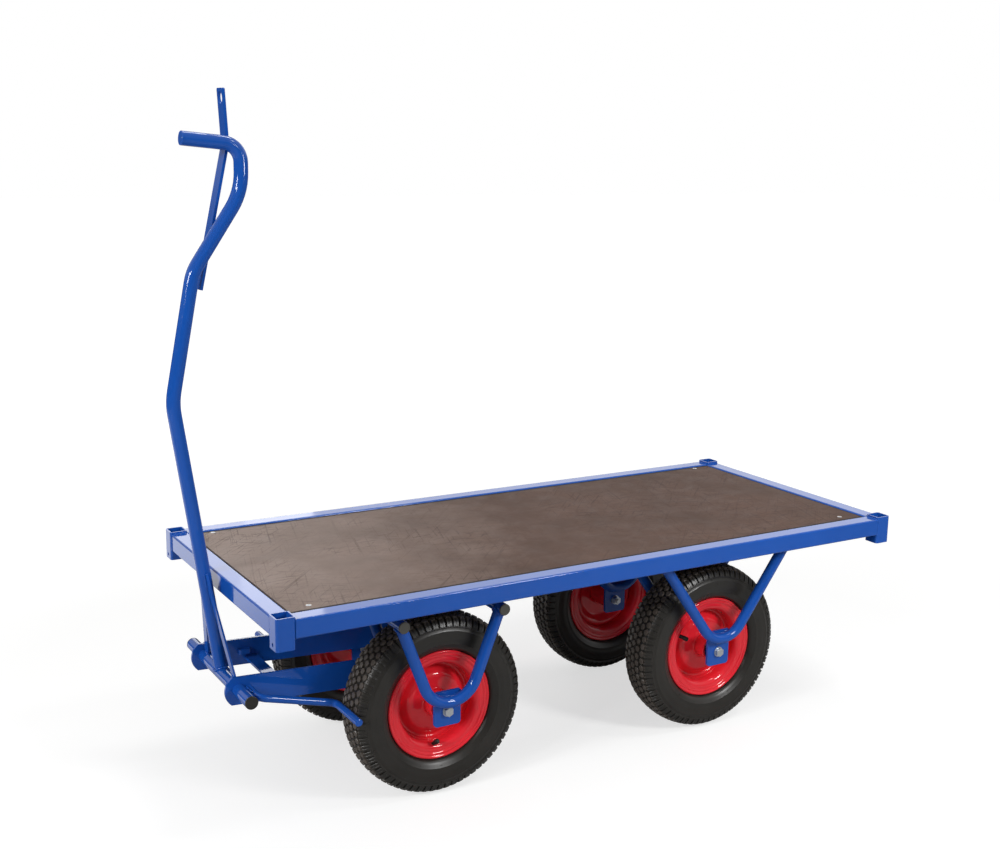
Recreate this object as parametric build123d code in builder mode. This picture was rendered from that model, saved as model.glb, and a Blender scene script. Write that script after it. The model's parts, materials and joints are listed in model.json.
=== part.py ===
from build123d import *
import os
from math import atan2, sin

# Hand cart: a square-tube platform with a plywood deck, four pneumatic wheels, a front bogie that
# steers on a turntable, and a drawbar whose rods brake the front tyres when it stands upright.
# +X points to the drawbar end, +Y to the left, +Z up. The floor is z = 0, and the origin lies on the
# floor under the middle of the whole cart. All sizes are millimetres.

# Platform frame
platform_x = -45.2
platform_length = 1600.0
platform_width = 700.0
post_side = 40.0
post_wall = 3.0
post_corner = 6.0
post_top = 494.0
post_height = 66.0
post_hole_radius = 4.0
post_hole_rise = 10.0
rail_side = 40.0
rail_wall = 2.5
rail_corner = 4.0
rail_top = 488.5
rail_bottom = rail_top - rail_side
end_rail_setback = 3.0

# Deck and what carries it
deck_top = 486.0
deck_thick = 12.0
deck_bottom = deck_top - deck_thick
deck_gap = 2.5
deck_corner = 3.0
screw_x = 704.0
screw_left_y = 277.0
screw_right_y = -296.0
screw_head_radius = 6.0
screw_radius = 3.0
screw_head_depth = 3.4
screw_sink = 0.2
screw_length = 24.0
screw_slack = 0.2
gusset_leg = 110.0
gusset_thick = 4.0
crossbar_width = 40.0
crossbar_wall = 2.5
crossbar_corner = 3.5

# Axles
wheel_y = 209.0
tyre_radius = 201.0
axle_z = tyre_radius
front_axle_x = platform_x + 394.0
rear_axle_x = platform_x - 335.5
bolt_radius = 6.0
bolt_slack = 0.15
bolt_over = 5.0
hex_flats = 19.0
head_height = 7.5
nut_height = 10.0
hex_chamfer = 1.0
washer_radius = 12.0
washer_thick = 2.5
sleeve_radius = 10.0
running_gap = 0.05

# Tyre: radius and half-width at the points of its section
tyre_shoulder = (194.5, 37.0)
tyre_edge = (187.0, 43.0)
tyre_belly = (156.5, 49.0)
tyre_neck = (126.5, 39.5)
tyre_bead_top = (122.8, 32.0)
tyre_bead_out = 28.0
tyre_bead_rise = 114.0
tyre_bead_radius = 101.9
tyre_bead_in = 20.0
tyre_inner_neck = (112.0, 22.0)
tyre_inner_belly = (156.5, 41.0)
tyre_inner_shoulder = (183.0, 33.0)
tyre_inner_crown = 190.0
groove_depth = 4.0
groove_width = 7.0
groove_offset = 17.0

# Inner tube and valve
tube_ring_radius = 147.0
tube_ring_height = 41.0
tube_ring_width = 31.0
tube_ring_wall = 2.5
valve_radius = 4.5
valve_slack = 0.6
valve_seat = (96.0, 17.6)
valve_lean = (-0.6, 0.8)
valve_out = 30.0
valve_in = 18.5
front_valve_angle = 84.0
rear_valve_angle = -25.0

# Rim: radius and half-width along the middle of the sheet
rim_sheet = 3.0
rim_lip = (120.0, 33.2)
rim_flange_top = (115.5, 30.6)
rim_seat_out = (100.1, 29.9)
rim_seat_in = (100.1, 21.0)
rim_well = (90.1, 13.5)
rim_bend = 2.5
disc_sheet = 4.0
disc_edge = (89.5, -6.0)
disc_step_out = (79.0, -6.0)
disc_step_in = (62.0, 12.0)
disc_bend = 6.0
hub_radius = 28.0
hub_half = 47.5
hub_bore = 21.0
bearing_radius = 23.5
bearing_width = 14.0
bearing_groove = 1.0
bearing_inner_ring = 13.5
bearing_outer_ring = 20.5

# Fork tubes and axle plates
tube_radius = 12.5
tube_wall = 2.5
fork_bend = 65.0
rear_fork_low = 238.4
rear_fork_slope = 0.716
front_fork_low = 225.5
front_fork_slope = 0.384
saddle_short = 3.0
plate_thick = 6.0
plate_width = 63.0
plate_low = 168.0
rear_plate_high = 254.0
front_plate_high = 246.0
plate_corner = 8.0
plate_top_corner = 3.0
outer_plate_y = 272.5
rear_inner_plate_y = 153.0
front_inner_plate_y = 143.0

# Turntable and bogie
cross_tube_z = 416.0
cross_tube_end = 309.0
plug_lip = 3.5
plug_depth = 14.0
plug_slack = 0.1
plug_edge = 1.2
turn_plate = 300.0
turn_plate_thick = 5.0
turn_plate_corner = 40.0
race_outer = 140.0
race_inner = 112.0
race_gap = 0.4
kingpin_radius = 10.0
kingpin_slack = 0.1
kingpin_flats = 30.0
kingpin_head = 13.0
kingpin_nut_height = 16.0
kingpin_over = 5.0
kingpin_washer_radius = 20.0
kingpin_washer_thick = 3.0
boss_radius = 25.0
boss_drop = 8.5

# Drawbar carrier on the bogie
pivot_x = platform_x + 793.0
pivot_z = 265.5
carrier_inner_y = 106.0
carrier_thick = 6.0
carrier_half = 30.0
carrier_drop = 2.0
carrier_tilt = 2.7
carrier_length = 466.0
carrier_corner = 8.0
nose_corner = 14.5
nose_tip = 29.3
tie_front = platform_x + 701.5
tie_width = 28.5
tie_thick = 5.0
tie_top = 247.0
lug_rear = platform_x + 691.0
lug_length = 27.0
lug_low = 257.0
lug_height = 11.0
lug_reach = 12.0
lug_corner = 4.0

# Drawbar
pivot_radius = 14.0
pivot_wall = 3.0
pivot_end = 186.0
bar_radius = 14.5
bar_wall = 2.6
bar_foot = (platform_x + 790.6, 265.5)
bar_knee = (platform_x + 878.0, 854.0)
bar_elbow = (platform_x + 828.0, 1116.0)
bar_neck = (platform_x + 722.7, 1274.0)
bar_crown = (platform_x + 722.7, 1367.5)
grip_end = (platform_x + 842.0, 1378.0)
bar_bends = (150.0, 100.0, 130.0, 38.0)
grip_cap = 3.0
grip_cap_edge = 1.5
brace_width = 20.0
brace_thick = 4.0
brace_top = (14.0, 229.0)
brace_foot = (91.0, 6.0)
tow_width = 33.0
tow_thick = 6.0
tow_foot = (platform_x + 806.3, 1078.0)
tow_bend = (platform_x + 743.5, 1368.0)
tow_top = (platform_x + 750.0, 1477.0)
tow_bend_radius = 60.0
tow_corner = 4.0
tow_hole_radius = 12.5
tow_hole_drop = 19.0
rod_radius = 8.0
rod_start_y = 120.0
rod_y = 174.0
rod_tip_y = 291.0
rod_high = (pivot_x - 21.15, pivot_z + 1.5)
rod_low = (platform_x + 603.2, 222.0)
rod_bend = 14.0
rod_edge = 1.5

left, right = 1, -1
side_names = {left: "left", right: "right"}


def save(piece, name):
    piece.label = name
    export_step(piece, f"parts/{name}.step")


def both_sides(piece):
    return Compound([piece, piece.mirror(Plane.XZ)])


def line_apex(low, slope):
    # Height where the straight legs of a bent fork would meet below its bend.
    return low - fork_bend * (1 / sin(atan2(slope, 1)) - 1)


cross_tube_x = (cross_tube_z - line_apex(front_fork_low, front_fork_slope)) * front_fork_slope
rear_leg_x = (rail_bottom - line_apex(rear_fork_low, rear_fork_slope)) * rear_fork_slope


def square_tube(plane, width, height, wall, corner, length):
    # A rectangular hollow section with rounded edges, run along the plane's normal.
    with BuildPart() as tube:
        with BuildSketch(plane):
            RectangleRounded(width, height, corner)
            RectangleRounded(width - 2 * wall, height - 2 * wall, corner - wall, mode=Mode.SUBTRACT)
        extrude(amount=length)
    return tube.part


def fork_tube(x, y, low, slope, top):
    # One tube bent to a V beside the wheel: two straight legs and a wide bend above the axle.
    apex = line_apex(low, slope)
    spread = (top - apex) * slope
    with BuildPart() as fork:
        with BuildLine(Plane.XZ.offset(-y)) as path:
            FilletPolyline((x - spread, top), (x, apex), (x + spread, top), radius=fork_bend)
        with BuildSketch(Plane(path.line @ 0, z_dir=path.line % 0)):
            Circle(tube_radius)
            Circle(tube_radius - tube_wall, mode=Mode.SUBTRACT)
        sweep(path=path.line)
    return fork.part


def rear_fork(y):
    with BuildPart() as fork:
        add(fork_tube(rear_axle_x, y, rear_fork_low, rear_fork_slope, rail_bottom + tube_radius))
        split(bisect_by=Plane.XY.offset(rail_bottom), keep=Keep.BOTTOM)
    return fork.part


def front_fork(y):
    with BuildPart() as fork:
        add(fork_tube(front_axle_x, y, front_fork_low, front_fork_slope, cross_tube_z - saddle_short))
        with BuildSketch(Plane.XZ.offset(-y)):
            with Locations((front_axle_x - cross_tube_x, cross_tube_z),
                           (front_axle_x + cross_tube_x, cross_tube_z)):
                Circle(tube_radius)
        extrude(amount=tube_radius, both=True, mode=Mode.SUBTRACT)
    return fork.part


def axle_plate(x, outer_y, plate_high):
    # A plate with rounded lower corners and the axle hole, its far side at outer_y.
    with BuildPart() as plate:
        with BuildSketch(Plane.XZ.offset(-outer_y)) as outline:
            with Locations((x, (plate_low + plate_high) / 2)):
                Rectangle(plate_width, plate_high - plate_low)
            fillet(outline.vertices().group_by(Axis.Y)[0], plate_corner)
            fillet(outline.vertices().group_by(Axis.Y)[-1], plate_top_corner)
            with Locations((x, axle_z)):
                Circle(bolt_radius + bolt_slack, mode=Mode.SUBTRACT)
        extrude(amount=plate_thick)
    return plate.part


def ring(plane, outer, inner, height):
    with BuildPart() as collar:
        with BuildSketch(plane):
            Circle(outer)
            Circle(inner, mode=Mode.SUBTRACT)
        extrude(amount=height)
    return collar.part


def axle_set(x, inner_y):
    # Bolt, washers, nut and sleeve of a left-hand wheel, from the outer plate to the inner one.
    head_y = outer_plate_y + plate_thick + washer_thick
    nut_y = inner_y - plate_thick - washer_thick
    bolt_end = nut_y - nut_height - bolt_over

    def facing(y):
        return Plane((x, y, axle_z), x_dir=(0, 0, 1), z_dir=(0, 1, 0))

    with BuildPart() as bolt:
        with BuildSketch(facing(head_y)):
            RegularPolygon(hex_flats / 2, 6, major_radius=False)
        extrude(amount=head_height)
        chamfer(bolt.faces().sort_by(Axis.Y)[-1].edges(), hex_chamfer)
        with BuildSketch(facing(bolt_end)):
            Circle(bolt_radius)
        extrude(amount=head_y - bolt_end)
        chamfer(bolt.faces().sort_by(Axis.Y)[0].edges(), hex_chamfer)
    with BuildPart() as nut:
        with BuildSketch(facing(nut_y - nut_height)):
            RegularPolygon(hex_flats / 2, 6, major_radius=False)
            Circle(bolt_radius, mode=Mode.SUBTRACT)
        extrude(amount=nut_height)
    with BuildPart() as washers:
        for y in (head_y - washer_thick, nut_y):
            with BuildSketch(facing(y)):
                Circle(washer_radius)
                Circle(bolt_radius + bolt_slack, mode=Mode.SUBTRACT)
            extrude(amount=washer_thick)
    with BuildPart() as sleeve:
        with BuildSketch(facing(inner_y)):
            Circle(sleeve_radius)
            Circle(bolt_radius + bolt_slack, mode=Mode.SUBTRACT)
        extrude(amount=outer_plate_y - inner_y)
    return {"bolts": bolt.part, "nuts": nut.part, "washers": washers.part, "sleeves": sleeve.part}


os.makedirs("parts", exist_ok=True)

# Platform frame: rails butting between open corner posts
half_length = platform_length / 2
half_width = platform_width / 2
side_rail_y = half_width - rail_side / 2
end_rail_x = half_length - end_rail_setback - rail_side / 2
rail_z = rail_top - rail_side / 2
rail_inner_y = side_rail_y - rail_side / 2
rail_inner_x = end_rail_x - rail_side / 2
side_rail_half = half_length - post_side
end_rail_half = half_width - post_side

side_rail = square_tube(
    Plane((platform_x - side_rail_half, side_rail_y, rail_z), x_dir=(0, 1, 0), z_dir=(1, 0, 0)),
    rail_side, rail_side, rail_wall, rail_corner, 2 * side_rail_half)
save(both_sides(side_rail), "side_rails")

end_rails = []
for x in (platform_x + end_rail_x, platform_x - end_rail_x):
    end_rails.append(square_tube(
        Plane((x, -end_rail_half, rail_z), x_dir=(1, 0, 0), z_dir=(0, 1, 0)),
        rail_side, rail_side, rail_wall, rail_corner, 2 * end_rail_half))
save(Compound(end_rails), "end_rails")

for end, end_name in ((1, "front"), (-1, "rear")):
    for side, side_name in side_names.items():
        post_x = platform_x + end * (half_length - post_side / 2)
        post_y = side * (half_width - post_side / 2)
        post_base = post_top - post_height
        with BuildPart() as post:
            with BuildSketch(Plane.XY.offset(post_base)):
                with Locations((post_x, post_y)):
                    RectangleRounded(post_side, post_side, post_corner)
                    RectangleRounded(post_side - 2 * post_wall, post_side - 2 * post_wall,
                                     post_corner - post_wall, mode=Mode.SUBTRACT)
            extrude(amount=post_height)
            face_x = platform_x + end * half_length
            with BuildSketch(Plane((face_x, post_y, post_base + post_hole_rise), z_dir=(-end, 0, 0))):
                Circle(post_hole_radius)
            extrude(amount=2 * post_wall, mode=Mode.SUBTRACT)
        save(post.part, f"corner_post_{end_name}_{side_name}")

# Deck: a plywood panel sunk between the rails, held by countersunk screws into corner gussets
screw_places = [(platform_x + sx * screw_x, y) for sx in (1, -1) for y in (screw_left_y, screw_right_y)]
screw_top = deck_top - screw_sink

with BuildPart() as deck:
    with BuildSketch(Plane.XY.offset(deck_bottom)):
        with Locations((platform_x, 0)):
            RectangleRounded(2 * (rail_inner_x - deck_gap), 2 * (rail_inner_y - deck_gap), deck_corner)
    extrude(amount=deck_thick)
    for place in screw_places:
        with Locations((*place, deck_top)):
            CounterSinkHole(screw_radius + screw_slack, screw_head_radius + screw_slack)
save(deck.part, "deck")

with BuildPart() as screws:
    for place in screw_places:
        with BuildSketch(Plane((*place, screw_top - screw_length))):
            Circle(screw_radius)
        extrude(amount=screw_length - screw_head_depth)
        with BuildSketch(Plane((*place, screw_top - screw_head_depth))):
            Circle(screw_radius)
        with BuildSketch(Plane((*place, screw_top))):
            Circle(screw_head_radius)
        loft()
save(screws.part, "deck_screws")

with BuildPart() as gussets:
    with BuildSketch(Plane.XY.offset(deck_bottom - gusset_thick)):
        for sx in (1, -1):
            for sy in (1, -1):
                corner_x = platform_x + sx * rail_inner_x
                corner_y = sy * rail_inner_y
                with BuildLine():
                    Polyline((corner_x, corner_y), (corner_x - sx * gusset_leg, corner_y),
                             (corner_x, corner_y - sy * gusset_leg), close=True)
                make_face()
        with Locations(*screw_places):
            Circle(screw_radius + screw_slack, mode=Mode.SUBTRACT)
    extrude(amount=gusset_thick)
save(gussets.part, "corner_gussets")

crossbars = []
crossbar_height = deck_bottom - rail_bottom
for x in (rear_axle_x - rear_leg_x, rear_axle_x + rear_leg_x,
          front_axle_x - cross_tube_x, front_axle_x + cross_tube_x):
    crossbars.append(square_tube(
        Plane((x, -rail_inner_y, rail_bottom + crossbar_height / 2), x_dir=(1, 0, 0), z_dir=(0, 1, 0)),
        crossbar_width, crossbar_height, crossbar_wall, crossbar_corner, 2 * rail_inner_y))
save(Compound(crossbars), "deck_crossbars")

# Turntable: two plates with facing races, and the kingpin through both
lower_plate_z = cross_tube_z + tube_radius
lower_plate_top = lower_plate_z + turn_plate_thick
upper_plate_z = rail_bottom - turn_plate_thick
race_height = (upper_plate_z - lower_plate_top - race_gap) / 2
boss_low = lower_plate_z - boss_drop
washer_z = boss_low - race_gap - kingpin_washer_thick
kingpin_nut_z = washer_z - kingpin_nut_height


def at_kingpin(z):
    return Plane((front_axle_x, 0, z))


with BuildPart() as upper_turntable:
    with BuildSketch(at_kingpin(upper_plate_z)):
        RectangleRounded(turn_plate, turn_plate, turn_plate_corner)
    extrude(amount=turn_plate_thick)
    with BuildSketch(at_kingpin(upper_plate_z)):
        Circle(race_outer)
        Circle(race_inner, mode=Mode.SUBTRACT)
    extrude(amount=-race_height)
    with Locations((front_axle_x, 0, rail_bottom)):
        Hole(kingpin_radius + kingpin_slack)
save(upper_turntable.part, "upper_turntable")

with BuildPart() as lower_turntable:
    with BuildSketch(at_kingpin(lower_plate_z)):
        RectangleRounded(turn_plate, turn_plate, turn_plate_corner)
    extrude(amount=turn_plate_thick)
    with BuildSketch(at_kingpin(lower_plate_top)):
        Circle(race_outer)
        Circle(race_inner, mode=Mode.SUBTRACT)
    extrude(amount=race_height)
    with BuildSketch(at_kingpin(boss_low)):
        Circle(boss_radius)
    extrude(amount=boss_drop)
    with Locations((front_axle_x, 0, lower_plate_top)):
        Hole(kingpin_radius + running_gap)
save(lower_turntable.part, "lower_turntable")

with BuildPart() as kingpin:
    with BuildSketch(at_kingpin(rail_bottom)):
        RegularPolygon(kingpin_flats / 2, 6, major_radius=False)
    extrude(amount=kingpin_head)
    chamfer(kingpin.faces().sort_by(Axis.Z)[-1].edges(), hex_chamfer)
    with BuildSketch(at_kingpin(kingpin_nut_z - kingpin_over)):
        Circle(kingpin_radius)
    extrude(amount=rail_bottom - kingpin_nut_z + kingpin_over)
    chamfer(kingpin.faces().sort_by(Axis.Z)[0].edges(), hex_chamfer)
save(kingpin.part, "kingpin")

with BuildPart() as kingpin_nut:
    with BuildSketch(at_kingpin(kingpin_nut_z)):
        RegularPolygon(kingpin_flats / 2, 6, major_radius=False)
        Circle(kingpin_radius, mode=Mode.SUBTRACT)
    extrude(amount=kingpin_nut_height)
kingpin_washer = ring(at_kingpin(washer_z), kingpin_washer_radius, kingpin_radius + kingpin_slack,
                      kingpin_washer_thick)
save(Compound([kingpin_nut.part, kingpin_washer]), "kingpin_nut")

# Rear forks and axles, fixed to the platform; front ones on the bogie
rear_inner_y = rear_inner_plate_y - plate_thick - tube_radius
front_inner_y = front_inner_plate_y - plate_thick - tube_radius
for side, side_name in side_names.items():
    outer_y = side * (outer_plate_y + plate_thick + tube_radius)
    save(rear_fork(outer_y), f"rear_fork_outer_{side_name}")
    save(rear_fork(side * rear_inner_y), f"rear_fork_inner_{side_name}")
    save(front_fork(outer_y), f"front_fork_outer_{side_name}")
    save(front_fork(side * front_inner_y), f"front_fork_inner_{side_name}")

for end_name, x, inner_y, high in (("rear", rear_axle_x, rear_inner_plate_y, rear_plate_high),
                                   ("front", front_axle_x, front_inner_plate_y, front_plate_high)):
    plates = [axle_plate(x, outer_plate_y + plate_thick, high), axle_plate(x, inner_y, high)]
    save(Compound(plates + [plate.mirror(Plane.XZ) for plate in plates]), f"{end_name}_axle_plates")
    for piece_name, piece in axle_set(x, inner_y).items():
        save(both_sides(piece), f"{end_name}_axle_{piece_name}")

# Bogie cross tubes with plastic end plugs
cross_tubes = []
cross_plugs = []
for x in (front_axle_x - cross_tube_x, front_axle_x + cross_tube_x):
    tube_start = Plane((x, -cross_tube_end, cross_tube_z), z_dir=(0, 1, 0))
    cross_tubes.append(ring(tube_start, tube_radius, tube_radius - tube_wall, 2 * cross_tube_end))
    with BuildPart() as plug:
        with BuildSketch(Plane((x, cross_tube_end, cross_tube_z), z_dir=(0, 1, 0))):
            Circle(tube_radius)
        extrude(amount=plug_lip)
        fillet(plug.edges().sort_by(Axis.Y)[-1], plug_edge)
        with BuildSketch(Plane((x, cross_tube_end - plug_depth, cross_tube_z), z_dir=(0, 1, 0))):
            Circle(tube_radius - tube_wall - plug_slack)
        extrude(amount=plug_depth)
    cross_plugs.append(both_sides(plug.part))
save(Compound(cross_tubes), "bogie_cross_tubes")
save(Compound(cross_plugs), "cross_tube_plugs")

# Drawbar carrier: two plates with curved noses at the pivot, a tie bar and a small lug
carrier_top = carrier_half - carrier_drop
carrier_low = -carrier_half - carrier_drop
carrier_run = Vector(1, 0, 0).rotate(Axis.Y, -carrier_tilt)
for side, side_name in side_names.items():
    with BuildPart() as carrier:
        with BuildSketch(Plane((pivot_x, side * carrier_inner_y, pivot_z), x_dir=carrier_run,
                               z_dir=(0, -1, 0))) as outline:
            with BuildLine():
                Polyline((nose_corner, carrier_top), (-carrier_length, carrier_top),
                         (-carrier_length, carrier_low), (nose_corner, carrier_low))
                ThreePointArc((nose_corner, carrier_low), (nose_tip, -carrier_drop),
                              (nose_corner, carrier_top))
            make_face()
            fillet(outline.vertices().group_by(Axis.X)[0], carrier_corner)
            Circle(pivot_radius + running_gap, mode=Mode.SUBTRACT)
        extrude(amount=-side * carrier_thick)
    save(carrier.part, f"carrier_plate_{side_name}")

with BuildPart() as tie_bar:
    with BuildSketch(Plane.XY.offset(tie_top - tie_thick)):
        with Locations((tie_front - tie_width / 2, 0)):
            Rectangle(tie_width, 2 * carrier_inner_y)
    extrude(amount=tie_thick)
save(tie_bar.part, "carrier_tie_bar")

with BuildPart() as lug:
    with BuildSketch(Plane.XY.offset(lug_low)):
        with Locations((lug_rear, -carrier_inner_y)):
            Rectangle(lug_length, lug_reach, align=(Align.MIN, Align.MIN))
    extrude(amount=lug_height)
    fillet(lug.edges().filter_by(Axis.Z).group_by(Axis.Y)[-1], lug_corner)
save(lug.part, "carrier_lug")

# Drawbar: a bent tube on a cross pivot, with braces, a tow bar and the brake rods
pivot_start = Plane((pivot_x, -pivot_end, pivot_z), z_dir=(0, 1, 0))
pivot_tube = ring(pivot_start, pivot_radius, pivot_radius - pivot_wall, 2 * pivot_end)
save(pivot_tube, "pivot_tube")

with BuildPart() as pivot_plug:
    with BuildSketch(Plane((pivot_x, pivot_end, pivot_z), z_dir=(0, 1, 0))):
        Circle(pivot_radius)
    extrude(amount=plug_lip)
    fillet(pivot_plug.edges().sort_by(Axis.Y)[-1], plug_edge)
    with BuildSketch(Plane((pivot_x, pivot_end - plug_depth, pivot_z), z_dir=(0, 1, 0))):
        Circle(pivot_radius - pivot_wall - plug_slack)
    extrude(amount=plug_depth)
save(both_sides(pivot_plug.part), "pivot_plugs")

# The pivot tube's outside as a solid, which the pieces welded to it are cut by
with BuildPart() as pivot_core:
    with BuildSketch(pivot_start):
        Circle(pivot_radius)
    extrude(amount=2 * pivot_end)

with BuildPart() as drawbar:
    with BuildLine(Plane.XZ) as bar_path:
        FilletPolyline(bar_foot, bar_knee, bar_elbow, bar_neck, bar_crown, grip_end, radius=bar_bends)
    with BuildSketch(Plane(bar_path.line @ 0, z_dir=bar_path.line % 0)):
        Circle(bar_radius)
        Circle(bar_radius - bar_wall, mode=Mode.SUBTRACT)
    sweep(path=bar_path.line)
    with BuildSketch(Plane(bar_path.line @ 1, z_dir=bar_path.line % 1)):
        Circle(bar_radius)
    extrude(amount=grip_cap)
    fillet(drawbar.faces().filter_by(GeomType.PLANE).sort_by(Axis.X)[-1].edges(), grip_cap_edge)
    add(pivot_core.part, mode=Mode.SUBTRACT)
save(drawbar.part, "drawbar_tube")

lean = (Vector(bar_knee[0], 0, bar_knee[1]) - Vector(bar_foot[0], 0, bar_foot[1])).normalized()
brace_plane = Plane((bar_foot[0], 0, bar_foot[1]), x_dir=(0, 1, 0), z_dir=Vector(0, 1, 0).cross(lean))
brace_run = Vector(*brace_foot) - Vector(*brace_top)
half_step = brace_width / 2 * brace_run.length / abs(brace_run.Y)
with BuildPart() as brace:
    with BuildSketch(brace_plane):
        with BuildLine():
            Polyline((brace_top[0] - half_step, brace_top[1]), (brace_top[0] + half_step, brace_top[1]),
                     (brace_foot[0] + half_step, brace_foot[1]),
                     (brace_foot[0] - half_step, brace_foot[1]), close=True)
        make_face()
    extrude(amount=brace_thick / 2, both=True)
    with BuildSketch(Plane((bar_foot[0], 0, bar_foot[1]), z_dir=lean)):
        Circle(bar_radius)
    extrude(amount=2 * brace_top[1], mode=Mode.SUBTRACT)
    add(pivot_core.part, mode=Mode.SUBTRACT)
save(both_sides(brace.part), "braces")

tow_rise = (Vector(tow_top[0], 0, tow_top[1]) - Vector(tow_bend[0], 0, tow_bend[1])).normalized()
tow_normal = Vector(0, 1, 0).cross(tow_rise)
tow_mid_y = -bar_radius - tow_width / 2
hole_centre = Vector(tow_top[0], tow_mid_y, tow_top[1]) - tow_rise * tow_hole_drop
with BuildPart() as tow_bar:
    with BuildSketch(Plane.XZ.offset(bar_radius)):
        with BuildLine():
            FilletPolyline(tow_foot, tow_bend, tow_top, radius=tow_bend_radius)
        trace(line_width=tow_thick)
    extrude(amount=tow_width)
    fillet(tow_bar.faces().sort_by(Axis.Z)[-1].edges().filter_by(Axis.Y, reverse=True), tow_corner)
    with BuildSketch(Plane(hole_centre, z_dir=tow_normal)):
        Circle(tow_hole_radius)
    extrude(amount=tow_thick, both=True, mode=Mode.SUBTRACT)
save(tow_bar.part, "tow_bar")

with BuildPart() as rod:
    with BuildLine() as rod_path:
        FilletPolyline((rod_high[0], rod_start_y, rod_high[1]), (rod_high[0], rod_y, rod_high[1]),
                       (rod_low[0], rod_y, rod_low[1]), (rod_low[0], rod_tip_y, rod_low[1]),
                       radius=rod_bend)
    with BuildSketch(Plane(rod_path.line @ 0, z_dir=rod_path.line % 0)):
        Circle(rod_radius)
    sweep(path=rod_path.line)
    chamfer(rod.faces().sort_by(Axis.Y)[-1].edges(), rod_edge)
    add(pivot_core.part, mode=Mode.SUBTRACT)
save(both_sides(rod.part), "brake_rods")

# Wheel pieces, made once about the Y axis with the valve towards +X, then set on the four axles
with BuildPart() as tyre:
    with BuildSketch() as tyre_section:
        with BuildLine():
            ThreePointArc((tyre_radius, 0), (tyre_radius - (tyre_radius - tyre_shoulder[0]) / 4,
                          tyre_shoulder[1] / 2), tyre_shoulder)
            Line(tyre_shoulder, tyre_edge)
            ThreePointArc(tyre_edge, tyre_belly, tyre_neck)
            Polyline(tyre_neck, tyre_bead_top, (tyre_bead_rise, tyre_bead_out),
                     (tyre_bead_radius, tyre_bead_out), (tyre_bead_radius, tyre_bead_in), tyre_inner_neck)
            ThreePointArc(tyre_inner_neck, tyre_inner_belly, tyre_inner_shoulder)
            Spline(tyre_inner_shoulder, (tyre_inner_crown, 0), tangents=((0.5, -1), (0, -1)))
            Line((tyre_inner_crown, 0), (tyre_radius, 0))
        make_face()
        mirror(about=Plane.XZ)
        with Locations((tyre_radius, groove_offset), (tyre_radius, -groove_offset)):
            Rectangle(2 * groove_depth, groove_width, mode=Mode.SUBTRACT)
    revolve(axis=Axis.Y)

valve_direction = Vector(*valve_lean, 0)
valve_plane = Plane((*valve_seat, 0), z_dir=valve_direction)
with BuildPart() as rim:
    with BuildSketch():
        with BuildLine():
            FilletPolyline(rim_lip, rim_flange_top, rim_seat_out, rim_seat_in, rim_well,
                           (rim_well[0], -rim_well[1]), (rim_seat_in[0], -rim_seat_in[1]),
                           (rim_seat_out[0], -rim_seat_out[1]),
                           (rim_flange_top[0], -rim_flange_top[1]), (rim_lip[0], -rim_lip[1]),
                           radius=rim_bend)
            offset(amount=rim_sheet / 2)
        make_face()
        with BuildLine():
            FilletPolyline(disc_edge, disc_step_out, disc_step_in, (hub_bore, disc_step_in[1]),
                           radius=disc_bend)
            offset(amount=disc_sheet / 2)
        make_face()
        Rectangle(2 * hub_radius, 2 * hub_half)
        Rectangle(2 * hub_bore, 2 * hub_half, mode=Mode.SUBTRACT)
        bearing_mid = hub_half - bearing_width / 2
        with Locations((0, bearing_mid), (0, -bearing_mid)):
            Rectangle(2 * bearing_radius, bearing_width, mode=Mode.SUBTRACT)
        with Locations((-hub_radius, 0)):
            Rectangle(2 * hub_radius, 4 * hub_half, mode=Mode.SUBTRACT)
    revolve(axis=Axis.Y)
    with BuildSketch(valve_plane):
        Circle(valve_radius + valve_slack)
    extrude(amount=3 * rim_sheet, both=True, mode=Mode.SUBTRACT)

with BuildPart() as bearings:
    with BuildSketch():
        for end in (1, -1):
            bearing_y = end * bearing_mid
            with Locations(((sleeve_radius + running_gap + bearing_radius) / 2, bearing_y)):
                Rectangle(bearing_radius - sleeve_radius - running_gap, bearing_width)
            shield_x = (bearing_inner_ring + bearing_outer_ring) / 2
            with Locations((shield_x, end * hub_half)):
                Rectangle(bearing_outer_ring - bearing_inner_ring, 2 * bearing_groove, mode=Mode.SUBTRACT)
    revolve(axis=Axis.Y)

with BuildPart() as inner_tube:
    with BuildSketch():
        with Locations((tube_ring_radius, 0)):
            Ellipse(tube_ring_height, tube_ring_width)
    revolve(axis=Axis.Y)
    with BuildSketch(valve_plane.offset(-valve_in)):
        Circle(valve_radius)
    extrude(amount=valve_in + valve_out)
    with BuildSketch():
        with Locations((tube_ring_radius, 0)):
            Ellipse(tube_ring_height - tube_ring_wall, tube_ring_width - tube_ring_wall)
    revolve(axis=Axis.Y, mode=Mode.SUBTRACT)

wheel_pieces = {"tyre": tyre.part, "rim": rim.part, "hub_bearings": bearings.part,
                "inner_tube": inner_tube.part}
for end_name, x, valve_angle in (("front", front_axle_x, front_valve_angle),
                                 ("rear", rear_axle_x, rear_valve_angle)):
    for side, side_name in side_names.items():
        turned = Rot(0, valve_angle, 0)
        if side == right:
            turned = Rot(0, 0, 180) * turned
        for piece_name, piece in wheel_pieces.items():
            placed = piece.moved(Pos(x, side * wheel_y, axle_z) * turned)
            save(placed, f"{piece_name}_{end_name}_{side_name}")
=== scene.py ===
import json
import math

import bmesh
import bpy
from mathutils import Matrix, Vector


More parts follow.
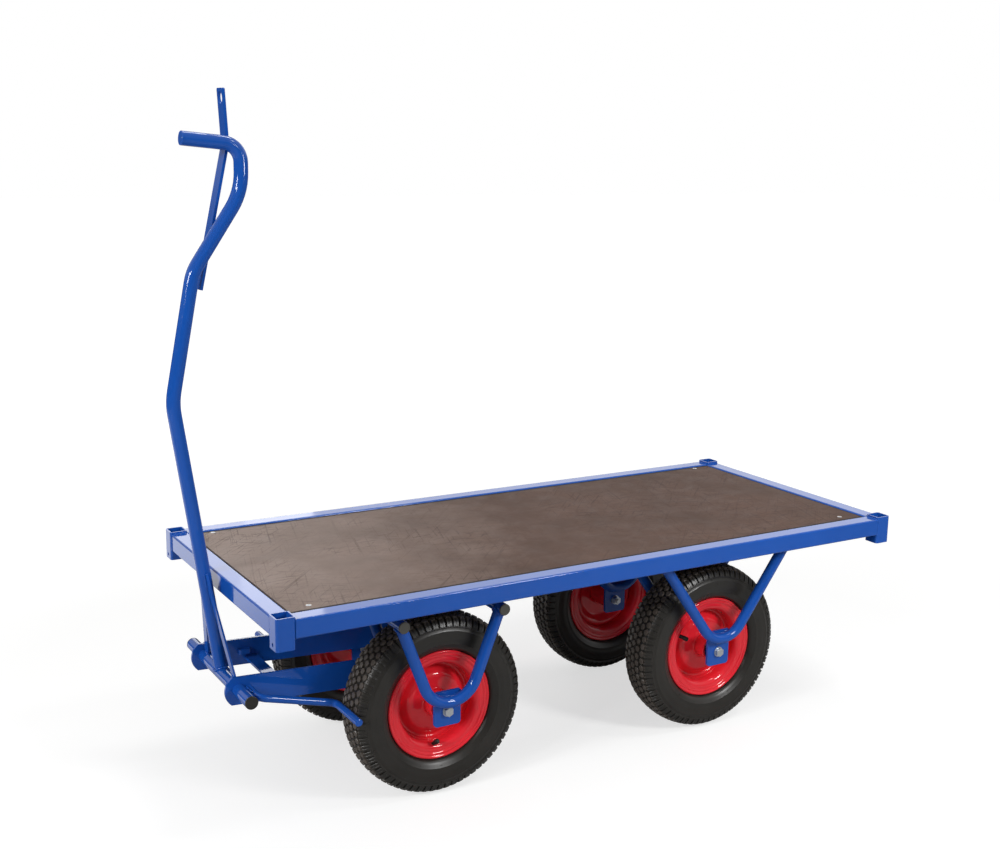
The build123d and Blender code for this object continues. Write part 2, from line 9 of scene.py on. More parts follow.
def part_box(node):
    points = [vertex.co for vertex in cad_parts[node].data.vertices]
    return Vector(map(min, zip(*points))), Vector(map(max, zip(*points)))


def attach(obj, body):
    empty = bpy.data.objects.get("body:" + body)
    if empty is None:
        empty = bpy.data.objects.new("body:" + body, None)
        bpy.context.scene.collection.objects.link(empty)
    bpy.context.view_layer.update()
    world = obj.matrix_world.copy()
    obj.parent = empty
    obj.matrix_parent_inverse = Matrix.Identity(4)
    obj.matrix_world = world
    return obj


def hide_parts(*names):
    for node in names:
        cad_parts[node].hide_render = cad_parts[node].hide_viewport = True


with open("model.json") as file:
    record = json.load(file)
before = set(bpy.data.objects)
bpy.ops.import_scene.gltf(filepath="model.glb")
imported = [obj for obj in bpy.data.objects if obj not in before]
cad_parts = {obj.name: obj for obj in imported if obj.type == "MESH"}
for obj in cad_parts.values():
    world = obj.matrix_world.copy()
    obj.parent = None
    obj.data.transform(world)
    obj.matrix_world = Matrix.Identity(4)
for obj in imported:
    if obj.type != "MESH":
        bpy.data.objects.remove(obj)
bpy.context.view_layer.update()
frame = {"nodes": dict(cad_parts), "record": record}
nodes = frame["nodes"]
print("frame loaded:", len(nodes), "nodes")


# selecting and shaping

mergeWithin = 1e-6  # metres, nearer points become one
facing = 0.9  # a face whose normal goes this far along an axis faces that way
sharpBend = 50  # degrees, softer bends get no bevel
sideways = Vector((0, 1, 0))


def clearSelection():
    if bpy.context.object and bpy.context.object.mode != "OBJECT":
        bpy.ops.object.mode_set(mode="OBJECT")
    bpy.ops.object.select_all(action="DESELECT")


def workOn(piece):
    clearSelection()
    piece.select_set(True)
    bpy.context.view_layer.objects.active = piece


def pick(piece, kind, wanted):
    # select the faces or edges of a piece in edit mode
    bpy.ops.mesh.select_mode(type=kind)
    bpy.ops.mesh.select_all(action="DESELECT")
    editing = bmesh.from_edit_mesh(piece.data)
    for element in editing.faces if kind == "FACE" else editing.edges:
        element.select_set(wanted(element))
    editing.select_flush_mode()
    bmesh.update_edit_mesh(piece.data)


def applyPlace():
    bpy.ops.object.transform_apply(location=True, rotation=True, scale=True)


def applyAll(piece):
    for modifier in list(piece.modifiers):
        bpy.ops.object.modifier_apply(modifier=modifier.name)


def joinPieces(name, parts):
    clearSelection()
    for part in parts:
        part.select_set(True)
    bpy.context.view_layer.objects.active = parts[0]
    if len(parts) > 1:
        bpy.ops.object.join()
    parts[0].name = name
    parts[0].data.name = name
    return parts[0]


def copyPiece(piece, name, place, turn=(0.0, 0.0, 0.0)):
    # its own mesh, turned about the origin and set in place
    workOn(piece)
    bpy.ops.object.duplicate(linked=False)
    twin = bpy.context.object
    twin.name = name
    twin.data.name = name
    twin.rotation_euler = turn
    twin.location = place
    applyPlace()
    return twin


def dropPiece(piece):
    mesh = piece.data
    bpy.data.objects.remove(piece)
    bpy.data.meshes.remove(mesh)


def mirrorBack(points):
    # a section's other half, from its end back to its start
    return [(radius, -width) for radius, width in points[::-1]]


def turnProfile(name, points, steps, closed=False):
    # draw a section point by point, radius along X and width along Y, then spin it about the Y axis
    clearSelection()
    bpy.ops.mesh.primitive_plane_add(size=1, location=(0, 0, 0))
    piece = bpy.context.object
    piece.name = name
    bpy.ops.object.mode_set(mode="EDIT")
    bpy.ops.mesh.select_mode(type="VERT")
    bpy.ops.mesh.select_all(action="SELECT")
    bpy.ops.mesh.merge(type="CENTER")
    bpy.ops.transform.translate(value=(points[0][0], points[0][1], 0))
    run = points + points[:1] if closed else points
    for here, there in zip(run, run[1:]):
        step = (there[0] - here[0], there[1] - here[1], 0)
        bpy.ops.mesh.extrude_region_move(TRANSFORM_OT_translate={"value": step})
    bpy.ops.mesh.select_all(action="SELECT")
    bpy.ops.mesh.remove_doubles(threshold=mergeWithin)
    bpy.ops.mesh.spin(steps=steps, angle=2 * math.pi, center=(0, 0, 0), axis=(0, 1, 0))
    bpy.ops.mesh.select_all(action="SELECT")
    bpy.ops.mesh.remove_doubles(threshold=mergeWithin)
    bpy.ops.mesh.normals_make_consistent(inside=False)
    bpy.ops.object.mode_set(mode="OBJECT")
    return piece


def ringArray(piece, count):
    # repeat round the axle with an array that follows a turned empty
    clearSelection()
    bpy.ops.object.empty_add(location=(0, 0, 0), rotation=(0, 2 * math.pi / count, 0))
    guide = bpy.context.object
    workOn(piece)
    array = piece.modifiers.new("ring", "ARRAY")
    array.count = count
    array.use_relative_offset = False
    array.use_object_offset = True
    array.offset_object = guide
    bpy.ops.object.modifier_apply(modifier=array.name)
    bpy.data.objects.remove(guide)


def smoothBy(piece, degrees):
    workOn(piece)
    bpy.ops.object.shade_smooth_by_angle(angle=math.radians(degrees))


# materials

noiseLow, noiseHigh = 0.3, 0.7  # nearly all of a noise texture's values lie between these
mixFrom, mixTo, mixed = 6, 7, 2  # a Mix node's colour sockets, which share their names with others
pureWhite = (1, 1, 1, 1)


def linear(hexColour):
    parts = [int(hexColour[k:k + 2], 16) / 255 for k in (0, 2, 4)]
    return tuple(p / 12.92 if p <= 0.04045 else ((p + 0.055) / 1.055) ** 2.4 for p in parts) + (1.0,)


def metres(millimetres):
    return millimetres / 1000


def perMetre(millimetres):
    return 1000 / millimetres


def addNode(tree, kind, settings=None, links=None):
    node = tree.nodes.new(kind)
    for name, value in (settings or {}).items():
        if isinstance(name, str) and hasattr(node, name):
            setattr(node, name, value)
        else:
            node.inputs[name].default_value = value
    for name, source in (links or {}).items():
        tree.links.new(source, node.inputs[name])
    return node


def startMaterial(name, constants):
    material = bpy.data.materials.new(name)
    material.use_nodes = True
    tree = material.node_tree
    shader = tree.nodes["Principled BSDF"]
    for socket, value in constants.items():
        shader.inputs[socket].default_value = value
    place = addNode(tree, "ShaderNodeTexCoord").outputs["Object"]
    return material, tree, shader, place


# polyester powder coat, sprayed on welded steel and baked: even deep colour, wet-looking gloss that
# mirrors its neighbours, faint orange peel and a few hairline rubs
coatLook = {"rough": (0.04, 0.09), "hazeSpan": (0.35, 0.65), "rubTurn": (0.2, 0.5, 0.6),
            "rubSpan": (0.68, 0.74), "rubMost": 0.16, "peel": 0.05, "peelDeep": 0.0002}
blueLook = {**coatLook, "colour": "1a55b1", "shade": "164da3", "ior": 1.4, "poolSize": 140, "hazeSize": 60,
            "rubSize": (160, 3, 3), "peelSize": 5.0}
redLook = {**coatLook, "colour": "ee2a37", "shade": "df2632", "ior": 1.45, "poolSize": 90, "hazeSize": 45,
           "rubSize": (90, 3, 3), "peelSize": 4.0}


def powderCoat(name, look):
    material, tree, shader, place = startMaterial(name, {"IOR": look["ior"]})
    pool = addNode(tree, "ShaderNodeTexNoise", {"Scale": perMetre(look["poolSize"]), "Detail": 3.0},
                   {"Vector": place})
    tint = addNode(tree, "ShaderNodeMix",
                   {"data_type": "RGBA", mixFrom: linear(look["colour"]), mixTo: linear(look["shade"])},
                   {0: pool.outputs["Fac"]})
    tree.links.new(tint.outputs[mixed], shader.inputs["Base Color"])
    haze = addNode(tree, "ShaderNodeTexNoise", {"Scale": perMetre(look["hazeSize"]), "Detail": 5.0},
                   {"Vector": place})
    hazeLow, hazeHigh = look["hazeSpan"]
    glossy, dull = look["rough"]
    gloss = addNode(tree, "ShaderNodeMapRange",
                    {"From Min": hazeLow, "From Max": hazeHigh, "To Min": glossy, "To Max": dull},
                    {"Value": haze.outputs["Fac"]})
    streak = addNode(tree, "ShaderNodeMapping",
                     {"Rotation": look["rubTurn"], "Scale": [perMetre(size) for size in look["rubSize"]]},
                     {"Vector": place})
    rub = addNode(tree, "ShaderNodeTexNoise", {"Scale": 1.0, "Detail": 2.0},
                  {"Vector": streak.outputs["Vector"]})
    rubLow, rubHigh = look["rubSpan"]
    rubbed = addNode(tree, "ShaderNodeMapRange",
                     {"From Min": rubLow, "From Max": rubHigh, "To Max": look["rubMost"]},
                     {"Value": rub.outputs["Fac"]})
    rough = addNode(tree, "ShaderNodeMath", {"operation": "ADD", "use_clamp": True},
                    {0: gloss.outputs["Result"], 1: rubbed.outputs["Result"]})
    tree.links.new(rough.outputs["Value"], shader.inputs["Roughness"])
    peel = addNode(tree, "ShaderNodeTexNoise", {"Scale": perMetre(look["peelSize"]), "Detail": 1.0},
                   {"Vector": place})
    relief = addNode(tree, "ShaderNodeBump", {"Strength": look["peel"], "Distance": look["peelDeep"]},
                     {"Height": peel.outputs["Fac"]})
    tree.links.new(relief.outputs["Normal"], shader.inputs["Normal"])
    return material


bluePaint = powderCoat("bluePowderCoat", blueLook)
redPaint = powderCoat("redPowderCoat", redLook)


# birch plywood pressed with a brown phenolic film: satin sheen, veneer telegraphing, dark rubs and scratches;
# a cover is a colour, the mask's values where it starts and is full, and its share there
boardLook = {"film": "5d453a", "deep": "49352b", "pale": "6b584e", "dust": "9b8b82", "smudge": "331f18",
             "ior": 1.22, "rough": (0.5, 0.64), "blotch": 170,
             "grain": (2.2, 90.0), "grainCover": ("deep", 0.35, 0.75, 0.35), "grainRelief": (0.12, 0.0003),
             "scuff": 55, "scuffCover": ("pale", 0.6, 0.78, 0.5),
             # the pale colour spread from the front end is partly dust and partly a painted sheen
             "dustAndSheenWay": (1.0, -0.35, 0.0), "dustAndSheenDrift": 0.5, "dustAndSheenCover": ("dust", 0.0, 0.75, 0.82),
             "scratches": ((0.12, 70, 6.0), (0.8, 130, 5.0), (1.3, 170, 5.0), (-0.5, 60, 6.5)),
             "scratchCover": ("smudge", 0.59, 0.66, 0.5), "wornSize": 340, "wornSpan": (0.32, 0.56),
             # the seal colour is partly sealing paint and partly painted shade of the gap at the deck's edge
             "sealAndGapShade": "120d0a", "sealAndGapShadeWide": (0.0022, 0.0080),
             "ply": "c9a778", "plyDark": "9c7646", "plyThick": 1.35, "faceFrom": 0.7}


def filmPlywood(name, look):
    material, tree, shader, place = startMaterial(name, {"IOR": look["ior"]})
    blotch = addNode(tree, "ShaderNodeTexNoise",
                     {"Scale": perMetre(look["blotch"]), "Detail": 5.0, "Roughness": 0.6},
                     {"Vector": place})
    grainWide, grainLong = look["grain"]
    stretch = addNode(tree, "ShaderNodeMapping",
                      {"Scale": (perMetre(grainLong), perMetre(grainWide), 1.0)}, {"Vector": place})
    grain = addNode(tree, "ShaderNodeTexNoise", {"Scale": 1.0, "Detail": 4.0, "Distortion": 0.3},
                    {"Vector": stretch.outputs["Vector"]})
    scuff = addNode(tree, "ShaderNodeTexNoise",
                    {"Scale": perMetre(look["scuff"]), "Detail": 7.0, "Roughness": 0.66, "Distortion": 0.5},
                    {"Vector": place})
    tone = addNode(tree, "ShaderNodeMapRange", {"From Min": noiseLow, "From Max": noiseHigh},
                   {"Value": blotch.outputs["Fac"]})
    faced = addNode(tree, "ShaderNodeMix",
                    {"data_type": "RGBA", mixFrom: linear(look["deep"]), mixTo: linear(look["film"])},
                    {0: tone.outputs["Result"]})
    # the front end is painted paler, fading towards the middle: partly dust, partly a painted sheen
    along = addNode(tree, "ShaderNodeVectorMath", {"operation": "DOT_PRODUCT", 1: look["dustAndSheenWay"]},
                    {0: place})
    drift = addNode(tree, "ShaderNodeMath",
                    {"operation": "MULTIPLY_ADD", 1: look["dustAndSheenDrift"], 2: -look["dustAndSheenDrift"] / 2},
                    {0: blotch.outputs["Fac"]})
    dustAndSheen = addNode(tree, "ShaderNodeMath", {"operation": "ADD"},
                      {0: along.outputs["Value"], 1: drift.outputs["Value"]})
    for mask, cover in ((grain.outputs["Fac"], "grainCover"), (scuff.outputs["Fac"], "scuffCover"),
                        (dustAndSheen.outputs["Value"], "dustAndSheenCover")):
        colour, start, full, most = look[cover]
        share = addNode(tree, "ShaderNodeMapRange", {"From Min": start, "From Max": full, "To Max": most},
                        {"Value": mask})
        faced = addNode(tree, "ShaderNodeMix", {"data_type": "RGBA", mixTo: linear(look[colour])},
                        {0: share.outputs["Result"], mixFrom: faced.outputs[mixed]})
    # scratches: long thin noise in four directions, let through only in rubbed patches
    patch = addNode(tree, "ShaderNodeTexNoise", {"Scale": perMetre(look["wornSize"]), "Detail": 3.0},
                    {"Vector": place})
    wornLow, wornHigh = look["wornSpan"]
    worn = addNode(tree, "ShaderNodeMapRange", {"From Min": wornLow, "From Max": wornHigh},
                   {"Value": patch.outputs["Fac"]})
    colour, start, full, most = look["scratchCover"]
    for turn, long, fine in look["scratches"]:
        lay = addNode(tree, "ShaderNodeMapping",
                      {"vector_type": "TEXTURE", "Rotation": (0, 0, turn),
                       "Scale": (metres(long), metres(fine), 1.0)}, {"Vector": place})
        line = addNode(tree, "ShaderNodeTexNoise", {"Scale": 1.0, "Detail": 3.0, "Distortion": 1.1},
                       {"Vector": lay.outputs["Vector"]})
        cut = addNode(tree, "ShaderNodeMapRange", {"From Min": start, "From Max": full, "To Max": most},
                      {"Value": line.outputs["Fac"]})
        shown = addNode(tree, "ShaderNodeMath", {"operation": "MULTIPLY"},
                        {0: cut.outputs["Result"], 1: worn.outputs["Result"]})
        faced = addNode(tree, "ShaderNodeMix", {"data_type": "RGBA", mixTo: linear(look[colour])},
                        {0: shown.outputs["Value"], mixFrom: faced.outputs[mixed]})
    # a dark band along the top edge: partly sealing paint run over from the cut edge, partly painted shade of
    # the gap to the frame
    split = addNode(tree, "ShaderNodeSeparateXYZ", None, {"Vector": place})
    low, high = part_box("deck")
    rims = []
    for axis, centre, half, wide in zip("XY", (low + high) / 2, (high - low) / 2, look["sealAndGapShadeWide"]):
        off = addNode(tree, "ShaderNodeMath", {"operation": "SUBTRACT", 1: centre}, {0: split.outputs[axis]})
        away = addNode(tree, "ShaderNodeMath", {"operation": "ABSOLUTE"}, {0: off.outputs["Value"]})
        rims.append(addNode(tree, "ShaderNodeMath", {"operation": "GREATER_THAN", 1: half - wide},
                            {0: away.outputs["Value"]}))
    sealAndGapShaded = addNode(tree, "ShaderNodeMath", {"operation": "MAXIMUM"},
                     {0: rims[0].outputs["Value"], 1: rims[1].outputs["Value"]})
    faced = addNode(tree, "ShaderNodeMix", {"data_type": "RGBA", mixTo: linear(look["sealAndGapShade"])},
                    {0: sealAndGapShaded.outputs["Value"], mixFrom: faced.outputs[mixed]})
    # cut edges show the crossed plies, every second one dark
    layer = addNode(tree, "ShaderNodeMath", {"operation": "MULTIPLY", 1: perMetre(2 * look["plyThick"])},
                    {0: split.outputs["Z"]})
    wave = addNode(tree, "ShaderNodeMath", {"operation": "FRACT"}, {0: layer.outputs["Value"]})
    dark = addNode(tree, "ShaderNodeMath", {"operation": "GREATER_THAN", 1: 0.5}, {0: wave.outputs["Value"]})
    plies = addNode(tree, "ShaderNodeMix",
                    {"data_type": "RGBA", mixFrom: linear(look["ply"]), mixTo: linear(look["plyDark"])},
                    {0: dark.outputs["Value"]})
    surface = addNode(tree, "ShaderNodeNewGeometry")
    upright = addNode(tree, "ShaderNodeSeparateXYZ", None, {"Vector": surface.outputs["True Normal"]})
    level = addNode(tree, "ShaderNodeMath", {"operation": "ABSOLUTE"}, {0: upright.outputs["Z"]})
    onFace = addNode(tree, "ShaderNodeMath", {"operation": "GREATER_THAN", 1: look["faceFrom"]},
                     {0: level.outputs["Value"]})
    board = addNode(tree, "ShaderNodeMix", {"data_type": "RGBA"},
                    {0: onFace.outputs["Value"], mixFrom: plies.outputs[mixed], mixTo: faced.outputs[mixed]})
    tree.links.new(board.outputs[mixed], shader.inputs["Base Color"])
    glossy, dull = look["rough"]
    sheen = addNode(tree, "ShaderNodeMapRange",
                    {"From Min": noiseLow, "From Max": noiseHigh, "To Min": glossy, "To Max": dull},
                    {"Value": scuff.outputs["Fac"]})
    tree.links.new(sheen.outputs["Result"], shader.inputs["Roughness"])
    strength, deep = look["grainRelief"]
    relief = addNode(tree, "ShaderNodeBump", {"Strength": strength, "Distance": deep},
                     {"Height": grain.outputs["Fac"]})
    tree.links.new(relief.outputs["Normal"], shader.inputs["Normal"])
    return material


filmBoard = filmPlywood("filmFacedPlywood", boardLook)


# bright zinc on rolled steel and ground bearing steel: pale, slightly blue, with a cloudy gloss
zincLook = {"colour": "d8dce0", "shade": "b4b8bd", "cloud": 5, "rough": (0.34, 0.5)}
bearingLook = {"colour": "c9cacc", "shade": "a9abae", "cloud": 8, "rough": (0.12, 0.24)}


def brightSteel(name, look):
    material, tree, shader, place = startMaterial(name, {"Metallic": 1.0})
    cloud = addNode(tree, "ShaderNodeTexNoise", {"Scale": perMetre(look["cloud"]), "Detail": 4.0},
                    {"Vector": place})
    tint = addNode(tree, "ShaderNodeMix",
                   {"data_type": "RGBA", mixFrom: linear(look["colour"]), mixTo: linear(look["shade"])},
                   {0: cloud.outputs["Fac"]})
    tree.links.new(tint.outputs[mixed], shader.inputs["Base Color"])
    glossy, dull = look["rough"]
    gloss = addNode(tree, "ShaderNodeMapRange",
                    {"From Min": noiseLow, "From Max": noiseHigh, "To Min": glossy, "To Max": dull},
                    {"Value": cloud.outputs["Fac"]})
    tree.links.new(gloss.outputs["Result"], shader.inputs["Roughness"])
    return material


zincPlate = brightSteel("brightZincPlate", zincLook)
bearingSteel = brightSteel("groundBearingSteel", bearingLook)


# carbon-black rubber, moulded and cured: dark, dull, with a grey bloom and fine mould texture
mouldLook = {"ior": 1.45, "reliefDeep": 0.0002}
treadLook = {**mouldLook, "colour": "1b1a17", "dust": "2c2925", "bloom": 70, "grit": 1.6,
             "rough": (0.27, 0.4), "relief": 0.2, "tread": "504943"}
tubeLook = {**mouldLook, "colour": "121212", "dust": "1e1d1c", "bloom": 25, "grit": 1.2,
            "rough": (0.4, 0.6), "relief": 0.3}
# polyethylene, injection moulded: waxy dark grey or black with a fine spark-eroded skin
plugLook = {**mouldLook, "colour": "4a4840", "dust": "4b4a44", "bloom": 14, "grit": 0.8,
            "rough": (0.45, 0.6), "relief": 0.35}
pivotLook = {**mouldLook, "colour": "1d1b18", "dust": "2a2824", "bloom": 14, "grit": 0.8,
             "rough": (0.38, 0.52), "relief": 0.3}


def moulded(name, look):
    material, tree, shader, place = startMaterial(name, {"IOR": look["ior"]})
    bloom = addNode(tree, "ShaderNodeTexNoise",
                    {"Scale": perMetre(look["bloom"]), "Detail": 6.0, "Roughness": 0.6},
                    {"Vector": place})
    colour = addNode(tree, "ShaderNodeMix",
                     {"data_type": "RGBA", mixFrom: linear(look["colour"]), mixTo: linear(look["dust"])},
                     {0: bloom.outputs["Fac"]})
    if "tread" in look:
        # ground that the tread has run on stays on it as pale dust
        worn = addNode(tree, "ShaderNodeAttribute", {"attribute_name": "worn"})
        colour = addNode(tree, "ShaderNodeMix", {"data_type": "RGBA", mixTo: linear(look["tread"])},
                         {0: worn.outputs["Fac"], mixFrom: colour.outputs[mixed]})
    tree.links.new(colour.outputs[mixed], shader.inputs["Base Color"])
    glossy, dull = look["rough"]
    gloss = addNode(tree, "ShaderNodeMapRange",
                    {"From Min": noiseLow, "From Max": noiseHigh, "To Min": glossy, "To Max": dull},
                    {"Value": bloom.outputs["Fac"]})
    tree.links.new(gloss.outputs["Result"], shader.inputs["Roughness"])
    grit = addNode(tree, "ShaderNodeTexNoise", {"Scale": perMetre(look["grit"]), "Detail": 3.0},
                   {"Vector": place})
    relief = addNode(tree, "ShaderNodeBump", {"Strength": look["relief"], "Distance": look["reliefDeep"]},
                     {"Height": grit.outputs["Fac"]})
    tree.links.new(relief.outputs["Normal"], shader.inputs["Normal"])
    return material


tyreRubber = moulded("curedTyreRubber", treadLook)
tubeRubber = moulded("butylTubeRubber", tubeLook)
plugPlastic = moulded("mouldedGreyPolyethylene", plugLook)
pivotPlastic = moulded("mouldedBlackPolyethylene", pivotLook)
print("materials made")

finishes = {"blue_painted_steel": bluePaint, "red_painted_steel": redPaint, "film_faced_plywood": filmBoard,
            "zinc_plated_steel": zincPlate, "bearing_steel": bearingSteel, "tyre_rubber": tyreRubber,
            "tube_rubber": tubeRubber, "grey_plastic": plugPlastic}

for entry in frame["record"]["subparts"]:
    for slot in nodes[entry["node"]].material_slots:
        slot.material = finishes[entry["material_slot"]]
for slot in nodes["pivot_plugs"].material_slots:
    slot.material = pivotPlastic  # the pivot's plugs are nearly black
print("finishes given to the CAD nodes")


def finishPiece(piece, body, slotName, *stoodFor):
    piece.data.materials.clear()
    piece.data.materials.append(finishes[slotName])
    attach(piece, body)
    if stoodFor:
        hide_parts(*stoodFor)


def middle(node):
    low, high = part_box(node)
    return (low + high) / 2


wheels = ("front_left", "front_right", "rear_left", "rear_right")


# tyres: a spun carcass, five staggered rows of hexagon blocks, combed lugs on the shoulders, mould pips;
# a row is its place across the tread and its shift along it, as a share of the pitch

tyreLook = {"pitches": 70, "steps": 140, "crown": 0.2008, "crownDrop": 0.0052, "crownHalf": 0.034,
            "rows": ((0.0, 0.0), (0.0142, 0.5), (-0.0142, 0.5), (0.0284, 0.0), (-0.0284, 0.0)),
            "block": (0.0081, 0.0061), "hexFlat": 0.866, "blockDeep": 0.0065, "blockTop": (0.9, 0.88),
            "blockEdge": 0.0009,
            "lug": ((0.1942, 0.0358), (0.1918, 0.0390), (0.1868, 0.0432), (0.1790, 0.0466)),
            "lugHalf": 0.0066, "lugDeep": 0.0036, "lugEdge": 0.0006,
            "comb": (-0.0037, 0.0037), "combDeep": 0.0012, "ribHalf": 0.0026,
            "pips": ((0.1350, 0.0442), (0.1725, 0.0472)), "pipCount": 16, "pip": (0.0008, 0.004),
            "pipTop": 0.6, "pipEdge": 0.0002,
            "innerCrown": (0.1900, 0.0), "worn": (0.1985, 0.2000), "smooth": 32, "turnEach": 1.7}

# half of its section: from the crown over the shoulder, down the sidewall to the bead, and back up inside
carcass = [(0.1960, 0.0), (0.1956, 0.0120), (0.1942, 0.0240), (0.1914, 0.0340), (0.1850, 0.0406),
           (0.1786, 0.0446), (0.1778, 0.0458), (0.1768, 0.0464), (0.1758, 0.0460), (0.1748, 0.0457),
           (0.1690, 0.0473), (0.1680, 0.0480), (0.1670, 0.0478), (0.1565, 0.0488), (0.1470, 0.0481),
           (0.1400, 0.0464), (0.1392, 0.0466), (0.1382, 0.0460), (0.1330, 0.0434), (0.1285, 0.0408),
           (0.1258, 0.0384), (0.1240, 0.0352), (0.1228, 0.0320), (0.1140, 0.0280), (0.1019, 0.0280),
           (0.1019, 0.0200), (0.1120, 0.0220), (0.1340, 0.0362), (0.1565, 0.0410), (0.1740, 0.0376),
           (0.1830, 0.0330), (0.1885, 0.0180)]


def makeBlockRow(look, row, shift):
    top = look["crown"] - look["crownDrop"] * (row / look["crownHalf"]) ** 2 - look["blockDeep"] / 2
    lean = -math.atan(2 * look["crownDrop"] * row / look["crownHalf"] ** 2)
    turn = shift * 2 * math.pi / look["pitches"]
    clearSelection()
    bpy.ops.mesh.primitive_cylinder_add(vertices=6, radius=1, depth=look["blockDeep"],
                                        location=(0, 0, 0), rotation=(0, 0, math.pi / 2))
    block = bpy.context.object
    applyPlace()
    bpy.ops.object.mode_set(mode="EDIT")
    bpy.ops.transform.resize(value=(look["block"][0], look["block"][1] / look["hexFlat"], 1))
    pick(block, "FACE", lambda face: face.normal.z > facing)
    bpy.ops.transform.resize(value=(*look["blockTop"], 1))
    bpy.ops.mesh.bevel(offset=look["blockEdge"], segments=1, affect="EDGES")
    bpy.ops.object.mode_set(mode="OBJECT")
    block.location = (top * math.sin(turn), row, top * math.cos(turn))
    block.rotation_euler = (lean, turn, 0)
    applyPlace()
    ringArray(block, look["pitches"])
    return block


def makeStrip(look, side, half, across=0.0, lower=0.0):
    # a bar laid over the shoulder: one edge drawn out point by point, then given its depth
    points = look["lug"]
    clearSelection()
    bpy.ops.mesh.primitive_plane_add(size=2, location=(0, 0, 0))
    strip = bpy.context.object
    bpy.ops.object.mode_set(mode="EDIT")
    pick(strip, "EDGE", lambda edge: all(v.co.y > 0 for v in edge.verts))
    bpy.ops.mesh.delete(type="VERT")
    bpy.ops.mesh.select_all(action="SELECT")
    bpy.ops.transform.resize(value=(half, 1, 1))
    bpy.ops.transform.translate(value=(across, 1 + side * points[0][1], points[0][0] - lower))
    for here, there in zip(points, points[1:]):
        move = (0, side * (there[1] - here[1]), there[0] - here[0])
        bpy.ops.mesh.extrude_region_move(TRANSFORM_OT_translate={"value": move})
    bpy.ops.mesh.select_all(action="SELECT")
    bpy.ops.mesh.normals_make_consistent(inside=False)
    bpy.ops.object.mode_set(mode="OBJECT")
    if sum(face.normal.z for face in strip.data.polygons) < 0:
        bpy.ops.object.mode_set(mode="EDIT")
        bpy.ops.mesh.flip_normals()
        bpy.ops.object.mode_set(mode="OBJECT")
    wall = strip.modifiers.new("depth", "SOLIDIFY")
    wall.thickness = look["lugDeep"]
    wall.offset = -1
    edge = strip.modifiers.new("edge", "BEVEL")
    edge.width = look["lugEdge"]
    edge.segments = 1
    edge.angle_limit = math.radians(sharpBend)
    applyAll(strip)
    return strip


def makeLugs(look, side):
    # a low lug with raised ribs across it
    bars = [makeStrip(look, side, look["lugHalf"], lower=look["combDeep"])]
    bars += [makeStrip(look, side, look["ribHalf"], across) for across in look["comb"]]
    lug = joinPieces("shoulderLug", bars)
    ringArray(lug, look["pitches"])
    return lug


def makePips(look, side, radius, out):
    wide, long = look["pip"]
    clearSelection()
    bpy.ops.mesh.primitive_cone_add(vertices=8, radius1=wide, radius2=look["pipTop"] * wide, depth=long,
                                    location=(0, side * out, radius), rotation=(-side * math.pi / 2, 0, 0))
    pip = bpy.context.object
    applyPlace()
    bpy.ops.object.mode_set(mode="EDIT")
    pick(pip, "FACE", lambda face: face.normal.y * side > facing)
    bpy.ops.mesh.bevel(offset=look["pipEdge"], segments=1, affect="EDGES")
    bpy.ops.object.mode_set(mode="OBJECT")
    ringArray(pip, look["pipCount"])
    return pip


def makeTyre(look):
    section = carcass + [look["innerCrown"]] + mirrorBack(carcass[1:])
    parts = [turnProfile("tyreCarcass", section, look["steps"], closed=True)]
    parts += [makeBlockRow(look, row, shift) for row, shift in look["rows"]]
    for side in (1, -1):
        parts.append(makeLugs(look, side))
        parts += [makePips(look, side, radius, out) for radius, out in look["pips"]]
    tyre = joinPieces("tyrePattern", parts)
    smoothBy(tyre, look["smooth"])
    # the tread is marked as worn near its tops, for the rubber's pale dust
    worn = tyre.data.attributes.new("worn", "FLOAT", "POINT")
    start, full = look["worn"]
    for mark, vertex in zip(worn.data, tyre.data.vertices):
        height = vertex.co.xz.length + look["crownDrop"] * (vertex.co.y / look["crownHalf"]) ** 2
        mark.value = min(1.0, max(0.0, (height - start) / (full - start)))
    return tyre


tyrePattern = makeTyre(tyreLook)
for number, wheel in enumerate(wheels):
    turn = (0, math.radians(tyreLook["turnEach"] * number), 0)
    tyre = copyPiece(tyrePattern, "blockTyre_" + wheel, middle("tyre_" + wheel), turn)
    finishPiece(tyre, wheel + "_wheel", "tyre_rubber", "tyre_" + wheel)
dropPiece(tyrePattern)
print("tyres made")


# rims: a rolled barrel and a dished disc pressed from sheet, with every bend rounded, and the hub tube

rimLook = {"steps": 96, "sheet": 0.003, "discSheet": 0.004, "edge": 0.0009, "smooth": 38,
           "barrel": [(0.1205, 0.0322), (0.1200, 0.0334), (0.1188, 0.0341), (0.1174, 0.0338),
                      (0.1162, 0.0327), (0.1150, 0.0319), (0.1136, 0.0318), (0.1122, 0.0323),
                      (0.1110, 0.0322), (0.1098, 0.0312), (0.1084, 0.0303), (0.1062, 0.0299),
                      (0.1036, 0.0298), (0.1018, 0.0297), (0.1001, 0.0293), (0.0984, 0.0288),
                      (0.0969, 0.0280), (0.0954, 0.0270), (0.0941, 0.0258), (0.0929, 0.0245),
                      (0.0919, 0.0231), (0.0911, 0.0215), (0.0906, 0.0198), (0.0902, 0.0181),
                      (0.0901, 0.0163), (0.0901, 0.0085)],
           "disc": [(0.0886, 0.0030), (0.0880, -0.0006), (0.0862, -0.0038), (0.0832, -0.0057),
                    (0.0798, -0.0059), (0.0766, -0.0044), (0.0736, -0.0015), (0.0700, 0.0026),
                    (0.0664, 0.0067), (0.0632, 0.0098), (0.0596, 0.0116), (0.0556, 0.0120),
                    (0.0360, 0.0120), (0.0318, 0.0123), (0.0296, 0.0134), (0.0284, 0.0158)],
           "hub": [(0.0280, 0.0466), (0.0271, 0.0475), (0.0236, 0.0475), (0.0236, 0.0334),
                   (0.0211, 0.0334)]}


